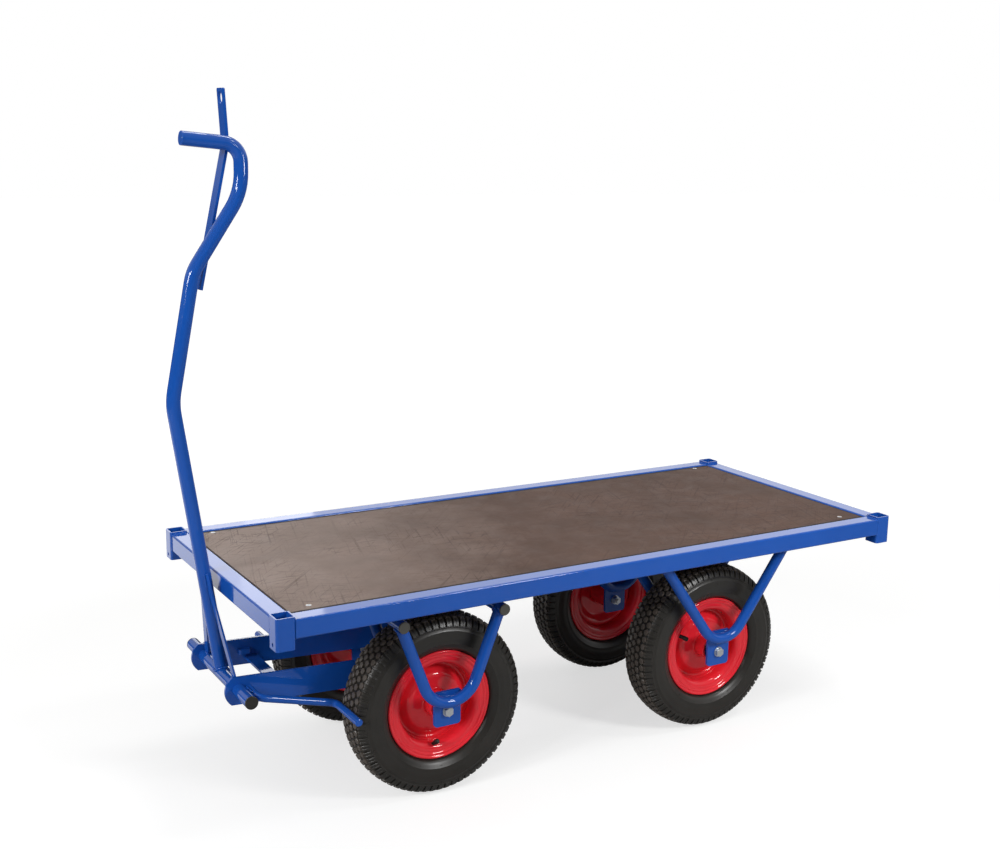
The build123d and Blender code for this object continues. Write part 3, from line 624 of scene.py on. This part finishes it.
def thickSheet(piece, thickness, edgeWide):
    workOn(piece)
    wall = piece.modifiers.new("sheet", "SOLIDIFY")
    wall.thickness = thickness
    wall.offset = 0
    wall.use_even_offset = True
    edge = piece.modifiers.new("edge", "BEVEL")
    edge.width = edgeWide
    edge.segments = 2
    edge.angle_limit = math.radians(sharpBend)
    applyAll(piece)


def makeRim(look):
    barrel = turnProfile("rimBarrel", look["barrel"] + mirrorBack(look["barrel"]), look["steps"])
    thickSheet(barrel, look["sheet"], look["edge"])
    disc = turnProfile("rimDisc", look["disc"], look["steps"])
    thickSheet(disc, look["discSheet"], look["edge"])
    hub = turnProfile("rimHub", look["hub"] + mirrorBack(look["hub"]), look["steps"] // 2, closed=True)
    rim = joinPieces("rimPattern", [barrel, disc, hub])
    smoothBy(rim, look["smooth"])
    return rim


rimPattern = makeRim(rimLook)
for wheel in wheels:
    turn = 0.0 if "left" in wheel else math.pi
    rim = copyPiece(rimPattern, "pressedRim_" + wheel, middle("tyre_" + wheel), (0, 0, turn))
    finishPiece(rim, wheel + "_wheel", "red_painted_steel", "rim_" + wheel)
dropPiece(rimPattern)
print("rims made")


# dust caps screwed on the valve stems, ribbed for the fingers

capLook = {"section": [(0.0, 0.0122), (0.0030, 0.0122), (0.0044, 0.0114), (0.0053, 0.0098), (0.0053, 0.0008),
                       (0.0049, 0.0), (0.0, 0.0)],
           "steps": 20, "gripFrom": 0.005, "gripSlope": 0.1, "groove": (0.0003, 0.0004), "smooth": 35,
           "stemRoot": 0.0935, "seat": (0.096, 0.0176), "lean": (-0.6, 0.8), "along": 0.0190}


def makeCap(look):
    cap = turnProfile("capPattern", look["section"], look["steps"])

    def onGrip(face):
        radius = face.calc_center_median().xz.length
        return abs(face.normal.y) < look["gripSlope"] and radius > look["gripFrom"]

    bpy.ops.object.mode_set(mode="EDIT")
    pick(cap, "FACE", onGrip)
    wide, deep = look["groove"]
    bpy.ops.mesh.inset(thickness=wide, depth=-deep, use_individual=True)
    bpy.ops.object.mode_set(mode="OBJECT")
    smoothBy(cap, look["smooth"])
    return cap


def capPlace(wheel, look):
    # where the cap sits on its stem, and the way that the stem leans
    axle = middle("tyre_" + wheel)
    out = sideways if axle.y > 0 else -sideways
    tube = nodes["inner_tube_" + wheel]
    stem = [tube.matrix_world @ v.co - axle for v in tube.data.vertices]
    stem = [v for v in stem if v.xz.length < look["stemRoot"]]
    toStem = sum(stem, Vector()) / len(stem)
    toStem.y = 0
    toStem.normalize()
    lean = look["lean"][0] * toStem + look["lean"][1] * out
    return axle + look["seat"][0] * toStem + look["seat"][1] * out + look["along"] * lean, lean


capPattern = makeCap(capLook)
for wheel in wheels:
    place, lean = capPlace(wheel, capLook)
    turn = sideways.rotation_difference(lean).to_euler()
    cap = copyPiece(capPattern, "valveCap_" + wheel, place, turn)
    finishPiece(cap, wheel + "_wheel", "tube_rubber")
dropPiece(capPattern)
print("valve caps made")


# countersunk deck screws with a cross recess

screwLook = {"head": 0.006, "headDeep": 0.0034, "headEdge": 0.0005, "shank": 0.003, "length": 0.024,
             "tip": 0.8, "cross": (0.0066, 0.0013), "crossDeep": 0.0022, "smooth": 30,
             "turns": (0.2, 1.1, 0.7, 1.4)}


def makeScrew(look):
    clearSelection()
    bpy.ops.mesh.primitive_cylinder_add(vertices=32, radius=look["head"], depth=look["headDeep"],
                                        location=(0, 0, -look["headDeep"] / 2))
    screw = bpy.context.object
    applyPlace()
    bpy.ops.object.mode_set(mode="EDIT")
    pick(screw, "FACE", lambda face: face.normal.z < -facing)
    narrow = look["shank"] / look["head"]
    bpy.ops.transform.resize(value=(narrow, narrow, 1))
    down = (0, 0, look["headDeep"] - look["length"])
    bpy.ops.mesh.extrude_region_move(TRANSFORM_OT_translate={"value": down})
    bpy.ops.transform.resize(value=(look["tip"], look["tip"], 1))
    pick(screw, "FACE", lambda face: face.normal.z > facing)
    bpy.ops.mesh.bevel(offset=look["headEdge"], segments=2, affect="EDGES")
    bpy.ops.object.mode_set(mode="OBJECT")
    for turn in (math.pi / 4, 3 * math.pi / 4):
        clearSelection()
        bpy.ops.mesh.primitive_cube_add(size=1, location=(0, 0, 0), rotation=(0, 0, turn))
        cutter = bpy.context.object
        cutter.scale = (*look["cross"], 2 * look["crossDeep"])
        applyPlace()
        workOn(screw)
        cut = screw.modifiers.new("recess", "BOOLEAN")
        cut.object = cutter
        cut.solver = "EXACT"
        applyAll(screw)
        dropPiece(cutter)
    smoothBy(screw, look["smooth"])
    return screw


screwPattern = makeScrew(screwLook)
low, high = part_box("deck_screws")
inset = screwLook["head"]
places = [(x, y, high.z) for x in (low.x + inset, high.x - inset) for y in (low.y + inset, high.y - inset)]
screws = [copyPiece(screwPattern, "deckScrew", place, (0, 0, turn))
          for place, turn in zip(places, screwLook["turns"])]
deckScrews = joinPieces("crossRecessDeckScrews", screws)
finishPiece(deckScrews, "platform", "zinc_plated_steel", "deck_screws")
dropPiece(screwPattern)
print("deck screws made")


# weld beads: rippled runs where the tubes and plates meet, laid as curves whose thickness ripples

weldLook = {"bead": 0.0027, "step": 0.0011, "fewest": 4, "ripple": (1.0, 0.96, 0.82), "ends": (0.45, 0.8),
            "sides": 2, "smooth": 60, "lift": 0.0011, "tube": 0.0125, "bend": 0.065, "besideTube": 0.0083,
            "offPlate": 0.0019, "lowSweep": 23, "highSweep": 27, "rearLegReach": 0.0154, "legSlope": 0.384,
            "legRound": 0.088, "tieSink": 0.0008, "tieEnd": 0.002}


def lineRun(start, end):
    start, end = Vector(start), Vector(end)
    count = max(weldLook["fewest"], round((end - start).length / weldLook["step"]))
    return [start.lerp(end, k / count) for k in range(count + 1)]


def bendRun(centre, radius, sweep):
    # an arc in the XZ plane, hanging below its centre
    sweep = math.radians(sweep)
    count = max(weldLook["fewest"], round(2 * sweep * radius / weldLook["step"]))
    return [centre + Vector((radius * math.sin(t), 0, -radius * math.cos(t)))
            for t in (sweep * (2 * k / count - 1) for k in range(count + 1))]


def roundRun(pointAt, length):
    count = round(length / weldLook["step"])
    return [pointAt(2 * math.pi * k / count) for k in range(count + 1)]


def layWelds(name, body, runs, scale=1.0):
    curve = bpy.data.curves.new(name, "CURVE")
    curve.dimensions = "3D"
    curve.bevel_depth = weldLook["bead"] * scale
    curve.bevel_resolution = weldLook["sides"]
    curve.use_fill_caps = True
    ripple = weldLook["ripple"]
    tip, shoulder = weldLook["ends"]
    for run in runs:
        spline = curve.splines.new("POLY")
        spline.points.add(len(run) - 1)
        for k, point in enumerate(run):
            spline.points[k].co = (*point, 1)
            spline.points[k].radius = ripple[k % len(ripple)]
        for end, size in ((0, tip), (1, shoulder), (-1, tip), (-2, shoulder)):
            spline.points[end].radius = size
    bead = bpy.data.objects.new(name, curve)
    bpy.context.scene.collection.objects.link(bead)
    workOn(bead)
    bpy.ops.object.convert(target="MESH")
    bead = bpy.context.object
    bpy.ops.object.mode_set(mode="EDIT")
    bpy.ops.mesh.select_all(action="SELECT")
    bpy.ops.mesh.remove_doubles(threshold=mergeWithin)
    bpy.ops.mesh.normals_make_consistent(inside=False)
    bpy.ops.object.mode_set(mode="OBJECT")
    bead.name = name
    bead.data.name = name
    smoothBy(bead, weldLook["smooth"])
    finishPiece(bead, body, "blue_painted_steel")


def forkRuns(node, side, plateOutward):
    # two beads along the bend where the tube lies on its plate
    centre = middle(node)
    centre.y += side * plateOutward * (weldLook["tube"] - weldLook["offPlate"])
    centre.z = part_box(node)[0].z + weldLook["tube"] + weldLook["bend"]
    return [bendRun(centre, weldLook["bend"] + weldLook["besideTube"], weldLook["lowSweep"]),
            bendRun(centre, weldLook["bend"] - weldLook["besideTube"], weldLook["highSweep"])]


def rearLegRuns(node):
    # an oval bead where each leg stands against its crossbar
    low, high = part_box(node)
    deep, wide = weldLook["rearLegReach"] + weldLook["lift"], weldLook["tube"] + weldLook["lift"]
    runs = []
    for x in (low.x + weldLook["rearLegReach"], high.x - weldLook["rearLegReach"]):
        centre = Vector((x, (low.y + high.y) / 2, high.z - weldLook["lift"]))
        runs.append(roundRun(lambda t: centre + Vector((deep * math.cos(t), wide * math.sin(t), 0)),
                             2 * math.pi * deep))
    return runs


def frontLegRuns(node):
    # a saddle bead where each leg is notched to its cross tube
    low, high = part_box("bogie_cross_tubes")
    tube, lift = weldLook["tube"], weldLook["lift"]
    runs = []
    for x, way in ((low.x + tube, 1), (high.x - tube, -1)):
        centre = Vector((x, middle(node).y, (low.z + high.z) / 2))
        down = Vector((way * weldLook["legSlope"], 0, -1)).normalized()
        across = Vector((-down.z, 0, down.x))

        def saddle(t):
            ring = math.cos(t) * sideways + math.sin(t) * across
            return centre + (tube * abs(math.cos(t)) + lift) * down + (tube + lift) * ring

        runs.append(roundRun(saddle, weldLook["legRound"]))
    return runs


platformRuns, bogieRuns = [], []
for side, hand in ((1, "left"), (-1, "right")):
    for place, plateOutward in (("outer", -1), ("inner", 1)):
        rearFork = "rear_fork_%s_%s" % (place, hand)
        frontFork = "front_fork_%s_%s" % (place, hand)
        platformRuns += forkRuns(rearFork, side, plateOutward) + rearLegRuns(rearFork)
        bogieRuns += forkRuns(frontFork, side, plateOutward) + frontLegRuns(frontFork)
    bogieRuns += forkRuns("front_fork_inner_" + hand, side, -1)
tieLow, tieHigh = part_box("carrier_tie_bar")
tieStart, tieStop = tieLow.x + weldLook["tieEnd"], tieHigh.x - weldLook["tieEnd"]
for y in (tieHigh.y - weldLook["tieSink"], tieLow.y + weldLook["tieSink"]):
    for z in (tieLow.z, tieHigh.z):
        bogieRuns.append(lineRun((tieStart, y, z), (tieStop, y, z)))
layWelds("weldBeadsRearForks", "platform", platformRuns)
layWelds("weldBeadsBogie", "bogie", bogieRuns)


# the frame's corners are ground nearly flush, so only a thin seam shows

seamLook = {"scale": 0.78, "proud": 0.0022, "inside": 0.0030, "endGap": 0.0006, "sideRun": (0.004, 0.037),
            "endRun": (0.003, 0.035)}


def cornerSeams(look, way, side):
    # where the side rail and the end rail meet their post: one upright seam each, and one above and below
    railLow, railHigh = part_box("side_rails")
    endLow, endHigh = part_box("end_rails")
    railEnd, endFace = (railHigh.x, endHigh.x) if way > 0 else (railLow.x, endLow.x)
    railFace, endStop = (railHigh.y, endHigh.y) if side > 0 else (railLow.y, endLow.y)
    bottom, top = railLow.z + look["endGap"], railHigh.z - look["endGap"]
    x, y = railEnd + way * look["proud"], railFace - side * look["inside"]
    runs = [lineRun((x, y, bottom), (x, y, top))]
    start, stop = look["sideRun"]
    for z in (railHigh.z, railLow.z):
        runs.append(lineRun((railEnd, railFace - side * start, z), (railEnd, railFace - side * stop, z)))
    runs.append(lineRun((endFace, endStop, bottom), (endFace, endStop, top)))
    start, stop = look["endRun"]
    for z in (railHigh.z, railLow.z):
        runs.append(lineRun((endFace - way * start, endStop, z), (endFace - way * stop, endStop, z)))
    return runs


seamRuns = [run for way in (-1, 1) for side in (1, -1) for run in cornerSeams(seamLook, way, side)]
layWelds("weldSeamsFrame", "platform", seamRuns, seamLook["scale"])


# the drawbar's welds: round its foot, along both braces, beside the brake rods and beside the tow bar

drawbarWeld = {"lean": (0.0874, 0.5885), "footBack": -0.0024, "footRound": 0.1, "bar": 0.0145, "pivot": 0.014,
               "braceHalf": 0.0030, "braceFoot": (0.0776, 0.0988, 0.0146), "braceTop": (0.0148, 0.197, 0.229),
               "rod": (-0.02115, 0.0015), "rodSink": 0.0005, "rodRun": (0.121, 0.152), "rodGroove": 0.0075,
               "towCross": (0.7835, 1.183), "towRun": (-0.0628, 0.290), "towSink": 0.0006, "towHalf": 0.0042,
               "towReach": 0.02}


def flatWay(way):
    # a direction in the XZ plane and the one square to it
    along = Vector((way[0], 0, way[1])).normalized()
    return along, Vector((along.z, 0, -along.x))


def drawbarRuns(look):
    pivot = middle("pivot_tube")
    pivot.y = 0
    lean, across = flatWay(look["lean"])
    foot = Vector((look["footBack"], 0, 0))
    around = look["bar"] + weldLook["lift"]

    def saddle(t):
        base = foot + around * math.sin(t) * across
        drop = base.dot(lean)
        inside = drop * drop - base.length_squared + (look["pivot"] + weldLook["lift"]) ** 2
        along = math.sqrt(inside) - drop if inside > 0 else -drop
        return pivot + base + along * lean + around * math.cos(t) * sideways

    runs = [roundRun(saddle, look["footRound"])]
    toRod, overRod = flatWay(look["rod"])
    near, far, rise = look["braceFoot"]
    beside, first, last = look["braceTop"]
    for side in (sideways, -sideways):
        for face in (1, -1):
            brace = pivot + foot + face * look["braceHalf"] * across
            runs.append(lineRun(brace + rise * lean + near * side, brace + rise * lean + far * side))
            runs.append(lineRun(brace + first * lean + beside * side, brace + last * lean + beside * side))
        for face in (1, -1):
            groove = pivot + (look["pivot"] - look["rodSink"]) * toRod - face * look["rodGroove"] * overRod
            runs.append(lineRun(groove + look["rodRun"][0] * side, groove + look["rodRun"][1] * side))
    tow, acrossTow = flatWay(look["towRun"])
    crossX, crossZ = look["towCross"]
    touch = Vector((middle("deck").x + crossX, look["towSink"] - look["bar"], crossZ))
    for face in (1, -1):
        edge = touch + face * look["towHalf"] * acrossTow
        runs.append(lineRun(edge - look["towReach"] * tow, edge + look["towReach"] * tow))
    return runs


layWelds("weldBeadsDrawbar", "drawbar", drawbarRuns(drawbarWeld))
print("welds laid")


# stage: pale floor, white surround, soft lamps

stageLook = {"floor": "b8b8b7", "floorSize": 60, "floorRough": 0.9, "lift": (0.63, 0.93),
             # the glowing floor spot, seen only in reflections, is a painted reflection
             "liftReach": (1.4, 4.5), "reflectedGlowLift": 1.4, "reflectedGlowSpot": (1.9, -1.9, 0.0),
             "reflectedGlowReach": (0.7, 1.9), "skyLevel": 0.3, "darkWay": (0.45, 0.85, 0.1), "darkSpan": (-0.1, 0.8),
             "darkest": 0.25, "horizon": 0.08, "horizonSpan": (0.06, 0.24)}


def makeFloor(look):
    clearSelection()
    bpy.ops.mesh.primitive_plane_add(size=look["floorSize"], location=(0, 0, 0))
    floor = bpy.context.object
    floor.name = "paleFloor"
    material, tree, shader, place = startMaterial("palePaper", {"Base Color": linear(look["floor"]),
                                                                "Roughness": look["floorRough"],
                                                                "Specular IOR Level": 0.0,
                                                                "Emission Color": pureWhite})
    # the sheet is lifted to white for the camera, more so far away, and keeps the shadow
    path = addNode(tree, "ShaderNodeLightPath")
    reach = addNode(tree, "ShaderNodeVectorMath", {"operation": "LENGTH"}, {0: place})
    start, full = look["liftReach"]
    least, most = look["lift"]
    rise = addNode(tree, "ShaderNodeMapRange",
                   {"From Min": start, "From Max": full, "To Min": least, "To Max": most},
                   {"Value": reach.outputs["Value"]})
    # a painted reflection: for mirrored rays the floor glows in one spot, off the cart's front right corner
    spot = addNode(tree, "ShaderNodeVectorMath", {"operation": "DISTANCE", 1: look["reflectedGlowSpot"]}, {0: place})
    inner, outer = look["reflectedGlowReach"]
    near = addNode(tree, "ShaderNodeMapRange",
                   {"From Min": inner, "From Max": outer, "To Min": look["reflectedGlowLift"], "To Max": 0.0},
                   {"Value": spot.outputs["Value"]})
    mirrored = addNode(tree, "ShaderNodeMath", {"operation": "MULTIPLY"},
                       {0: path.outputs["Is Glossy Ray"], 1: near.outputs["Result"]})
    lift = addNode(tree, "ShaderNodeMath", {"operation": "MULTIPLY_ADD"},
                   {0: path.outputs["Is Camera Ray"], 1: rise.outputs["Result"],
                    2: mirrored.outputs["Value"]})
    tree.links.new(lift.outputs["Value"], shader.inputs["Emission Strength"])
    floor.data.materials.append(material)


def makeSurround(look):
    world = bpy.data.worlds.new("whiteSurround")
    bpy.context.scene.world = world
    world.use_nodes = True
    tree = world.node_tree
    tree.nodes.clear()
    path = addNode(tree, "ShaderNodeLightPath")
    seen = addNode(tree, "ShaderNodeMath", {"operation": "MAXIMUM"},
                   {0: path.outputs["Is Camera Ray"], 1: path.outputs["Is Transmission Ray"]})
    soft = addNode(tree, "ShaderNodeBackground", {"Color": pureWhite, "Strength": look["skyLevel"]})
    white = addNode(tree, "ShaderNodeBackground", {"Color": pureWhite, "Strength": 1.0})
    # gloss mirrors a room that is white high up behind the cart, dim at eye level and on the near side
    place = addNode(tree, "ShaderNodeTexCoord")
    ahead = addNode(tree, "ShaderNodeVectorMath", {"operation": "DOT_PRODUCT", 1: look["darkWay"]},
                    {0: place.outputs["Generated"]})
    start, full = look["darkSpan"]
    dim = addNode(tree, "ShaderNodeMapRange",
                  {"From Min": start, "From Max": full, "To Min": 1.0, "To Max": look["darkest"]},
                  {"Value": ahead.outputs["Value"]})
    split = addNode(tree, "ShaderNodeSeparateXYZ", None, {"Vector": place.outputs["Generated"]})
    start, full = look["horizonSpan"]
    above = addNode(tree, "ShaderNodeMapRange",
                    {"From Min": start, "From Max": full, "To Min": look["horizon"], "To Max": 1.0},
                    {"Value": split.outputs["Z"]})
    level = addNode(tree, "ShaderNodeMath", {"operation": "MULTIPLY"},
                    {0: dim.outputs["Result"], 1: above.outputs["Result"]})
    room = addNode(tree, "ShaderNodeBackground", {"Color": pureWhite}, {"Strength": level.outputs["Value"]})
    mirrored = addNode(tree, "ShaderNodeMixShader", None,
                       {0: path.outputs["Is Glossy Ray"], 1: soft.outputs[0], 2: room.outputs[0]})
    whole = addNode(tree, "ShaderNodeMixShader", None,
                    {0: seen.outputs["Value"], 1: mirrored.outputs[0], 2: white.outputs[0]})
    addNode(tree, "ShaderNodeOutputWorld", None, {"Surface": whole.outputs[0]})


lampAim = Vector((0, 0, 0.45))  # every lamp points at the middle of the cart
lampLook = {"sideSoftbox": {"place": (-0.8, 1.9, 1.4), "size": (0.42, 0.42), "watts": 19},
            "sideFlash": {"place": (-1.5, 3.9, 2.3), "size": (0.45, 0.3), "watts": 16},
            "topSoftbox": {"place": (-0.6, -0.8, 3.9), "size": (1.4, 0.5), "watts": 32},
            "overSoftbox": {"place": (-1.7, 1.7, 4.0), "size": (0.7, 0.7), "watts": 20},
            "frontSoftbox": {"place": (4.0, 1.0, 2.0), "size": (0.9, 0.9), "watts": 70},
            "frontFlash": {"place": (3.6, 2.0, 2.3), "size": (0.4, 0.3), "watts": 18},
            "backSoftbox": {"place": (-2.9, -4.1, 2.1), "size": (4.2, 1.3), "watts": 11},
            "cornerSoftbox": {"place": (-0.5, -4.3, 2.0), "size": (1.5, 1.2), "watts": 10}}


def makeLamps(look):
    for name, lamp in look.items():
        clearSelection()
        bpy.ops.object.light_add(type="AREA", location=lamp["place"])
        light = bpy.context.object
        light.name = name
        light.data.shape = "RECTANGLE"
        light.data.size, light.data.size_y = lamp["size"]
        light.data.energy = lamp["watts"]
        light.rotation_euler = (lampAim - Vector(lamp["place"])).to_track_quat("-Z", "Y").to_euler()


makeFloor(stageLook)
makeSurround(stageLook)
makeLamps(lampLook)
print("stage and lamps made")


# camera at the photograph's angle, worked out for a picture 1000 wide; its x is taken from the deck's middle

cameraView = {"fromDeck": 1.67195, "y": 2.64715, "z": 1.37405, "yaw": -120.51, "pitch": -11.63, "roll": 0.88,
              "focal": 1358.36, "width": 1000, "sensor": 36.0}


def makeCamera(look):
    yaw, pitch, roll = (math.radians(look[k]) for k in ("yaw", "pitch", "roll"))
    ahead = Vector((math.cos(pitch) * math.cos(yaw), math.cos(pitch) * math.sin(yaw), math.sin(pitch)))
    across = Vector((math.sin(yaw), -math.cos(yaw), 0))
    over = across.cross(ahead)
    right = math.cos(roll) * across + math.sin(roll) * over
    up = -math.sin(roll) * across + math.cos(roll) * over
    place = (middle("deck").x + look["fromDeck"], look["y"], look["z"])
    bpy.ops.object.camera_add(location=place)
    camera = bpy.context.object
    camera.name = "photoCamera"
    turned = Matrix((right, up, -ahead)).transposed().to_4x4()
    turned.translation = place
    camera.matrix_world = turned
    camera.data.sensor_fit = "HORIZONTAL"
    camera.data.sensor_width = look["sensor"]
    camera.data.lens = look["sensor"] * look["focal"] / look["width"]
    bpy.context.scene.camera = camera


clearSelection()
makeCamera(cameraView)
bpy.context.scene.view_settings.view_transform = "Standard"
print("camera set")
